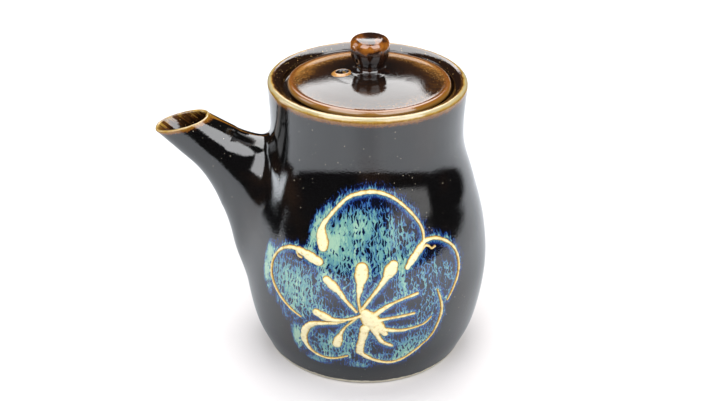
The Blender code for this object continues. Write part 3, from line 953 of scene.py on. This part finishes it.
def make_spout(material):
    """The spout: its outside flows over the belly, its lip is rounded and its bore is open."""
    sections = through(SPOUT, 16)
    outer = spout_points(sections)
    outward = surface_normals(outer)
    centre = outer.mean(1, keepdims=True)
    outward *= np.sign((outward * (outer - centre)).sum(-1, keepdims=True))
    deeper = np.linspace(0, 1, len(sections))
    bore = spout_points(sections, SPOUT_LIP + 1.6 * np.clip(deeper * 4, 0, 1))
    chord = unit(outer[0, 0] - outer[0, SPOUT_SIDES // 2])
    up = np.array([chord[2], 0.0, -chord[0]])
    up *= np.sign(up[2])
    crown = 0.42 * SPOUT_LIP
    sides = []
    for side in range(SPOUT_SIDES):
        hit, line = meet_wall(outer[:, side])
        kept, curve, sunk = flow_over(line, hit, outward[len(line) - 1, side])
        out_line = np.vstack([resample(kept, OUTSIDE_ROWS), curve])
        bore_hit, bore_line = meet_wall(bore[:, side])
        inner = resample(np.vstack([bore_line, snap_to_wall(bore_hit, -0.4)]), BORE_ROWS)
        a, b = out_line[0], inner[0]
        turn = np.linspace(0, pi, LIP_ROWS + 2)[1:-1, None]
        crest = (a + b) / 2 + (a - b) / 2 * np.cos(turn) + up * crown * np.sin(turn)
        sides.append(np.vstack([inner[::-1], crest[::-1], out_line, sunk[None]]))
    points = np.stack(sides, 1)
    points[-ROOT_ROWS - 1 : -1] = relax(points[-ROOT_ROWS - 1 : -1], 40)
    root = points[-ROOT_ROWS - 1 : -2]
    buried = np.clip(0.03 - outside_wall(root), 0, 1)[..., None]
    flat = np.stack([root[..., 0], root[..., 1], 0 * root[..., 2]], -1)
    root += buried * unit(flat)
    steps = np.linalg.norm(np.diff(points, axis=0), axis=-1)
    travel = np.vstack([np.zeros((1, SPOUT_SIDES)), np.cumsum(steps, 0)])
    travel = travel - travel[BORE_ROWS + LIP_ROWS // 2]
    sides_round = np.arange(SPOUT_SIDES)[None, :]
    ridge = np.exp(-(((sides_round - SPOUT_SIDES / 2) / 3.0) ** 2))
    outside = 0.9 + 1.15 * travel
    outside = outside * (1 - ridge) + np.minimum(outside, 1.6 + 0.03 * travel) * ridge
    streak = 0.3 * np.sin(0.9 * sides_round) + 0.3 * np.sin(2.3 * sides_round + 1)
    inside = -0.45 + 0.22 * travel + streak * np.clip(-travel / 3, 0, 1)
    lip = np.clip(np.where(travel > 0, outside, inside), -12, 12)
    azimuth = azimuth_of(points)
    values = {"lip": lip, "foot": np.full(lip.shape, 9.0)}
    values.update(blossom_values(azimuth, points[..., 2]))
    uv = np.stack([azimuth * UNROLL, points[..., 2]], -1)
    normals = surface_normals(points[:-1])
    shell = points[BORE_ROWS + LIP_ROWS : -1]
    from_axis = shell - shell.mean(1, keepdims=True)
    turned = np.sign((normals[BORE_ROWS + LIP_ROWS :] * from_axis).sum())
    normals *= turned
    last = FILLET_ROWS // 2
    on_pot = np.array([[wall_normal(p) for p in row] for row in points[-last - 1 : -1]])
    share = np.linspace(0, 1, last)[:, None, None] ** 2
    normals[-last:] = unit(normals[-last:] * (1 - share) + on_pot * share)
    normals[-ROOT_ROWS:] = relax(normals[-ROOT_ROWS:], 90)
    normals = unit(normals)
    normals = np.concatenate([normals, normals[-1:]])
    faces = grid_faces(len(points), SPOUT_SIDES, close_rows=True)
    faces = faces if turned > 0 else faces[:, ::-1]
    spout = make_piece("pouring_spout", points, faces, material, values, uv, normals)
    return place(spout, "pot", "black_glaze", "spout")


# ---- lid and knob


def seat_on_pot(points):
    """Lid and knob sit a trifle off centre and tilted, as a hand-fitted lid does."""
    pivot = np.array([0.0, 0.0, 90.0])
    a = radians(LID_TILT)
    turn = np.array([[1, 0, 0], [0, cos(a), sin(a)], [0, -sin(a), cos(a)]])
    return (points - pivot) @ turn.T + pivot + np.array([*LID_CENTRE, LID_LIFT])


def make_lid(material):
    """The lid with its rounded edge, dome, locating flange and vent hole."""
    under = through(LID_UNDER, 5)
    top = through(LID_TOP, 6)
    outline = np.vstack([under[:-1], top])
    edge = np.clip(24.9 - outline[:, 0], 0, 30)
    edge[: len(under) // 2] = 9.0
    outline, edge = refine(outline, edge, 0.7)
    angle = full_turn(LID_SIDES)
    r, z = outline[:, :1], outline[:, 1:]
    z = z + np.where(r > 12, 0.06 * np.sin(2 * angle + 0.7) + 0.04 * np.sin(5 * angle), 0.0)
    points = around(r, angle + pi / 2, z)
    back = np.clip(points[..., 1] / 24 * 0.85 + 0.2, 0, 1)
    near_edge = np.clip((r - 8) / 16, 0, 1)
    warm = np.clip(0.1 + 1.25 * near_edge * (0.3 + 0.7 * back), 0, 1.1)
    values = {"lip": np.broadcast_to(edge[:, None], z.shape), "warm": warm}
    lid = make_piece("dome_lid", seat_on_pot(points), grid_faces(*z.shape), material, values)
    middle = (VENT[0] * MM, VENT[1] * MM, 92 * MM)
    bpy.ops.mesh.primitive_cylinder_add(
        vertices=48, radius=VENT_RADIUS * MM, depth=12 * MM, location=middle
    )
    drill = bpy.context.object
    cut = lid.modifiers.new("vent", "BOOLEAN")
    cut.operation, cut.solver, cut.object = "DIFFERENCE", "EXACT", drill
    whole = add_object("uncut_lid", lid.data.copy())
    shading = lid.modifiers.new("shading", "DATA_TRANSFER")
    shading.object = whole
    shading.use_loop_data = True
    shading.data_types_loops = {"CUSTOM_NORMAL"}
    shading.loop_mapping = "POLYINTERP_NEAREST"
    bpy.context.view_layer.objects.active = lid
    bpy.ops.object.modifier_apply(modifier="vent")
    bpy.ops.object.modifier_apply(modifier="shading")
    bpy.data.objects.remove(drill)
    bpy.data.objects.remove(whole)
    return place(lid, "lid", "lid_glaze", "lid")


def make_vent_rim(material):
    """The raised ring of glaze round the vent hole: dark inside, thin and orange outside."""
    outline = through(VENT_RIM, 5)
    angle = full_turn(VENT_SIDES)
    r = outline[:, :1] * (1 + 0.04 * np.sin(2 * angle + 1))
    z = outline[:, 1:] + (93.18 + 0.1 * np.cos(angle))
    points = around(r, angle + pi / 2, z) + (*VENT, 0.0)
    warm = np.broadcast_to(np.clip((outline[:, :1] - 1.6) / 0.6, 0, 1) * 0.85, r.shape)
    values = {"lip": np.full(r.shape, 9.0), "warm": warm}
    faces = grid_faces(*r.shape, close_rows=True)
    rim = make_piece("vent_rim", seat_on_pot(points), faces, material, values)
    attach(rim, "lid")
    return rim


def make_knob(material):
    """The knob: a tapering neck that runs out into the lid and a squarish ball with a flat top."""
    outline = through(KNOB, 8)
    angle = full_turn(KNOB_SIDES)
    r, z = outline[:, :1], outline[:, 1:]
    shoulder = np.exp(-(((z - 102.3) / 1.9) ** 2)) * np.clip((r - 1.0) / 2.5, 0, 1)
    r = r * (1 + 0.008 * np.sin(2 * angle + 0.4) + 0.005 * np.sin(3 * angle))
    warm = np.broadcast_to(np.clip(0.15 + 0.7 * shoulder, 0, 1), r.shape)
    points = seat_on_pot(around(r, angle + pi / 2, z))
    knob = make_piece("lid_knob", points, grid_faces(*r.shape), material, {"warm": warm})
    return place(knob, "lid", "knob_glaze", "knob")


# ---- stage


def bearing(azimuth, elevation):
    """Unit vector from the pot toward a viewer at an azimuth and elevation in degrees."""
    a, e = radians(azimuth), radians(elevation)
    return Vector((sin(a) * cos(e), -cos(a) * cos(e), sin(e)))


def aim(thing, target, roll=0.0):
    """Turn a camera or light so that it looks at a target."""
    turn = (target - thing.location).to_track_quat("-Z", "Y")
    thing.rotation_mode = "QUATERNION"
    thing.rotation_quaternion = turn @ Quaternion((0, 0, 1), radians(roll))


def area_light(name, width, height, radiance, colour=(1, 1, 1)):
    """A rectangular light of a radiance, which faces down and doesn't show to the camera."""
    light = bpy.data.lights.new(name, "AREA")
    light.shape = "RECTANGLE"
    light.size, light.size_y = width, height
    light.energy = radiance * pi * width * height
    light.color = colour
    thing = add_object(name, light)
    thing.visible_camera = False
    return thing


def softbox(name, azimuth, elevation, distance, *light):
    """An area light that faces the pot from an azimuth and elevation."""
    thing = area_light(name, *light)
    thing.location = bearing(azimuth, elevation) * distance + LIGHT_TARGET
    aim(thing, LIGHT_TARGET)


def make_camera():
    """The photograph's viewpoint: 29 degrees up, a little to the left of the blossom."""
    camera = bpy.data.cameras.new("camera")
    camera.sensor_width = 36.0
    camera.lens = 63.86
    camera.shift_x = -0.0212
    camera.shift_y = 0.0140
    thing = add_object("camera", camera)
    target = Vector((0, 0, 0.045))
    thing.location = target + bearing(-5, 29) * 0.4
    aim(thing, target, 0.85)
    bpy.context.scene.camera = thing


# The stage is in metres.  LIGHT_TARGET is where the lights aim; SHEET is the outline of the sheet
# of paper that the pot stands on, and FLOOR_REACH how far the floor goes on round it.
LIGHT_TARGET = Vector((0, 0, 0.06))
SHEET = (
    (-0.60, 0.0), (-0.36, -0.06), (-0.17, -0.177), (-0.044, -0.212), (0.125, -0.208),
    (0.30, -0.128), (0.30, 0.9), (-0.16, 0.9), (-0.16, 0.036), (-0.24, 0.046), (-0.29, 0.026),
    (-0.31, 0.0),
)
FLOOR_REACH = 2.5


def make_floor():
    """Pale paper.  The glaze mirrors only the sheet under the pot, not the floor beyond it."""
    graph = Graph("pale_paper")
    place = graph.object_mm()
    grain = graph.noise(place, 0.4, 3.0)
    seen = graph.node("LightPath").outputs["Is Camera Ray"]
    apart = graph.node("SeparateXYZ", {0: place})
    aside = graph.math("ABSOLUTE", graph.math("ADD", apart.outputs["X"], 13.0))
    away = graph.node("VectorMath", {0: place}, operation="LENGTH").outputs["Value"]
    uneven = graph.between(graph.noise(place, 0.22, 3.0, 0.75), 0.40, 0.60, -0.8, 0.8)
    uneven = graph.linear(uneven, graph.between(away, 110.0, 160.0), 0.5)
    uneven = graph.math("MULTIPLY", uneven, 0.60)
    # Painted shade seen in reflections: a darker strip front to back beside the axis
    light = graph.linear(graph.between(aside, 8.0, 60.0), 0.40, uneven)
    colour = graph.mix(light, (0.400, 0.415, 0.440), (0.760, 0.785, 0.815))
    # Painted shadow: up to a fifth darker near the pot's foot, fading out by 135 mm
    colour = graph.mix(graph.between(away, 60.0, 135.0, 0.22, 0.0), colour, (0.0, 0.0, 0.0))
    colour = graph.mix(seen, colour, (0.745, 0.718, 0.712))
    # Painted light: far out the paper glows to the camera, as pale as the room
    painted_glow = graph.math("MULTIPLY", graph.between(away, 300.0, 900.0), seen)
    more = {"Specular IOR Level": 0.2, "Emission Strength": painted_glow}
    more["Emission Color"] = (1.0, 1.0, 1.0, 1.0)
    material = graph.finish(colour, 0.8, graph.bump(grain, 0.05 * MM, 0.2), 1.3, more)
    far = FLOOR_REACH
    around = [(-far, -far), (far, -far), (far, far), (-far, far)]
    for name, outline, level in (("floor", SHEET, 0.0), ("floor_beyond", around, -0.2 * MM)):
        mesh = bpy.data.meshes.new(name)
        mesh.from_pydata([(x, y, level) for x, y in outline], [], [tuple(range(len(outline)))])
        mesh.materials.append(material)
        floor = add_object(name, mesh)
        floor.visible_glossy = name == "floor"


def make_world():
    """Pale to the camera, dark in the glaze's reflections, like a dim room round a lit table."""
    graph = Graph("room", bpy.data.worlds)
    bpy.context.scene.world = graph.material
    seen = graph.node("LightPath").outputs["Is Camera Ray"]
    colour = graph.mix(seen, (0.012, 0.012, 0.013), (1.0, 1.0, 1.0))
    background = graph.node("Background", {0: colour})
    graph.node("OutputWorld", {0: background.outputs[0]})


def make_stage():
    """Camera, floor, room and lights; each light ends in its width, height, radiance and colour."""
    make_camera()
    make_floor()
    make_world()
    area_light("overhead", 1.10, 2.0, 4.2).location = (0.05, 0.9, 1.09)
    softbox("window_left", -40, 40, 1.3, 0.95, 1.15, 3.7, (0.96, 0.97, 1.0))
    softbox("window_right", 37, 38, 1.3, 1.10, 1.15, 4.0, (0.97, 0.98, 1.0))
    softbox("low_card", 40, 2.6, 1.2, 1.0, 0.15, 1.1)
    softbox("side_window", -104, 24, 0.8, 0.36, 0.40, 2.2, (0.90, 0.95, 1.0))
    softbox("side_card", -107, -0.3, 0.42, 0.125, 0.084, 4.6, (0.88, 0.94, 1.0))
    bpy.context.scene.view_settings.view_transform = "Standard"


def main():
    pot_material = pot_glaze("black_glaze")
    make_pot(pot_material)
    make_spout(pot_material)
    make_slip(slip_glaze())
    lid_material = lid_glaze()
    make_lid(lid_material)
    make_vent_rim(lid_material)
    make_knob(knob_glaze())
    make_stage()


main()
